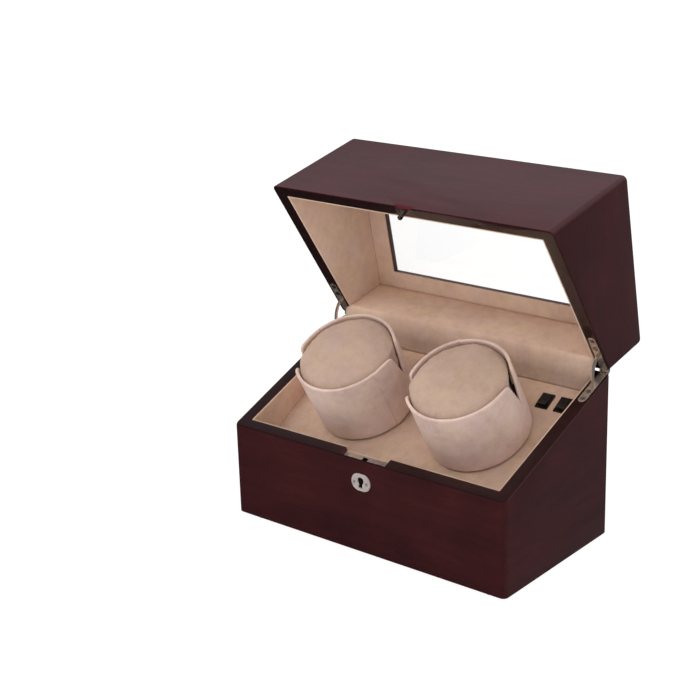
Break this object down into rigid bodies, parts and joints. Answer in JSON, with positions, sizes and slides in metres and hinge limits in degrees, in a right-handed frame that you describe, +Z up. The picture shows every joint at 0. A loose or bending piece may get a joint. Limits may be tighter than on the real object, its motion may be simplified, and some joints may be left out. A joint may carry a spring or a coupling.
{
  "type": "watch winder box",
  "caption": "Lacquered wooden watch winder box with a slanted glazed lid, twin motorised turntables with watch pillows, rocker switches and a keyed lock.",
  "frame": {"origin": "centre of the flat underside of the box", "axes": "+Z up, +X to the right seen from the front, -Y towards the front with the lock"},
  "size_m": [0.25, 0.1805, 0.2716],
  "materials": {
    "lacquered_wood": "high-gloss clear lacquer over dark red-brown veneer",
    "plywood": "sanded, unfinished",
    "bottom_board": "satin stain",
    "suede_lining": "short-nap microsuede, beige",
    "suede_cup": "short-nap microsuede, pinkish beige",
    "suede_pillow": "short-nap microsuede over foam",
    "glass": "clear, polished",
    "brushed_steel": "brushed",
    "steel_screw": "zinc plated",
    "lock_steel": "satin",
    "brass": "turned",
    "black_plastic": "moulded, semi-gloss",
    "drum_plastic": "moulded, matte",
    "gear_plastic": "natural acetal",
    "rubber": "moulded",
    "motor_can": "satin zinc",
    "circuit_board": "green solder mask",
    "wire": "PVC insulation"
  },
  "bodies": {
    "base": {"base_case": "lacquered_wood", "base_lining": "suede_lining", "bottom_panel": "bottom_board", "bottom_screws": "steel_screw", "feet": "rubber", "foot_screws": "steel_screw", "turntable_panel": "plywood", "panel_cover": "suede_lining", "panel_battens": "plywood", "suede_hinge_strip": "suede_lining", "lock_case": "lock_steel", "lock_face_plate": "brushed_steel", "lock_screws": "steel_screw", "escutcheon": "brushed_steel", "escutcheon_pins": "brushed_steel", "hinge_base_leaf_left": "brushed_steel", "hinge_base_leaf_right": "brushed_steel", "hinge_arm_left": "brushed_steel", "hinge_arm_right": "brushed_steel", "hinge_pins": "steel_screw", "hinge_screws_base": "steel_screw", "motor_bracket_left": "brushed_steel", "motor_bracket_right": "brushed_steel", "bracket_screws": "steel_screw", "gearmotor_left": "motor_can", "gearmotor_right": "motor_can", "motor_screws": "steel_screw", "spindle_bushes": "brass", "control_board": "circuit_board", "board_screws": "steel_screw", "dc_jack": "black_plastic", "dc_jack_nut": "steel_screw", "switch_housings": "black_plastic", "wiring": "wire"},
    "lid": {"lid_case": "lacquered_wood", "lid_lining": "suede_lining", "window_lining": "suede_lining", "window_glass": "glass", "striker_plate": "brushed_steel", "striker_screws": "steel_screw", "hinge_lid_leaf_left": "brushed_steel", "hinge_lid_leaf_right": "brushed_steel", "hinge_screws_lid": "steel_screw"},
    "turntable_left": {"cup_left": "drum_plastic", "cup_cover_left": "suede_cup", "spindle_left": "brushed_steel", "drive_gear_left": "gear_plastic", "spindle_clip_left": "steel_screw"},
    "turntable_right": {"cup_right": "drum_plastic", "cup_cover_right": "suede_cup", "spindle_right": "brushed_steel", "drive_gear_right": "gear_plastic", "spindle_clip_right": "steel_screw"},
    "pillow_left": {"pillow_left": "suede_pillow"},
    "pillow_right": {"pillow_right": "suede_pillow"},
    "rocker_left": {"rocker_left": "black_plastic"},
    "rocker_right": {"rocker_right": "black_plastic"},
    "lock_bolt": {"lock_bolt": "brass"},
    "motor_pinion_left": {"motor_pinion_left": "brass"},
    "motor_pinion_right": {"motor_pinion_right": "brass"}
  },
  "joints": [
    {"name": "lid_hinge", "type": "hinge", "parent": "base", "child": "lid", "pos_m": [0, 0.06762, 0.12734], "axis": [-1, 0, 0], "range_deg": [-78.2, 0]},
    {"name": "turntable_left_spin", "type": "hinge", "parent": "base", "child": "turntable_left", "pos_m": [-0.052, 0.00822, 0.0826], "axis": [0, -0.5, 0.866], "continuous": true},
    {"name": "turntable_right_spin", "type": "hinge", "parent": "base", "child": "turntable_right", "pos_m": [0.052, 0.00822, 0.0826], "axis": [0, -0.5, 0.866], "continuous": true},
    {"name": "motor_left_spin", "type": "hinge", "parent": "base", "child": "motor_pinion_left", "pos_m": [-0.0296, 0.01372, 0.07307], "axis": [0, -0.5, 0.866], "continuous": true},
    {"name": "motor_right_spin", "type": "hinge", "parent": "base", "child": "motor_pinion_right", "pos_m": [0.0296, 0.01372, 0.07307], "axis": [0, -0.5, 0.866], "continuous": true},
    {"name": "pillow_left_lift", "type": "slide", "parent": "turntable_left", "child": "pillow_left", "axis": [0, -0.5, 0.866], "range_m": [0, 0.058]},
    {"name": "pillow_right_lift", "type": "slide", "parent": "turntable_right", "child": "pillow_right", "axis": [0, -0.5, 0.866], "range_m": [0, 0.058]},
    {"name": "rocker_left_tilt", "type": "hinge", "parent": "base", "child": "rocker_left", "pos_m": [0.0849, 0.04298, 0.10279], "axis": [1, 0, 0], "range_deg": [0, 14]},
    {"name": "rocker_right_tilt", "type": "hinge", "parent": "base", "child": "rocker_right", "pos_m": [0.1006, 0.04298, 0.10279], "axis": [1, 0, 0], "range_deg": [0, 14]},
    {"name": "lock_bolt_slide", "type": "slide", "parent": "base", "child": "lock_bolt", "axis": [1, 0, 0], "range_m": [0, 0.0055]}
  ],
  "couplings": [
    {"joint": "motor_left_spin", "follows": "turntable_left_spin", "ratio": -2.5},
    {"joint": "motor_right_spin", "follows": "turntable_right_spin", "ratio": -2.5}
  ]
}
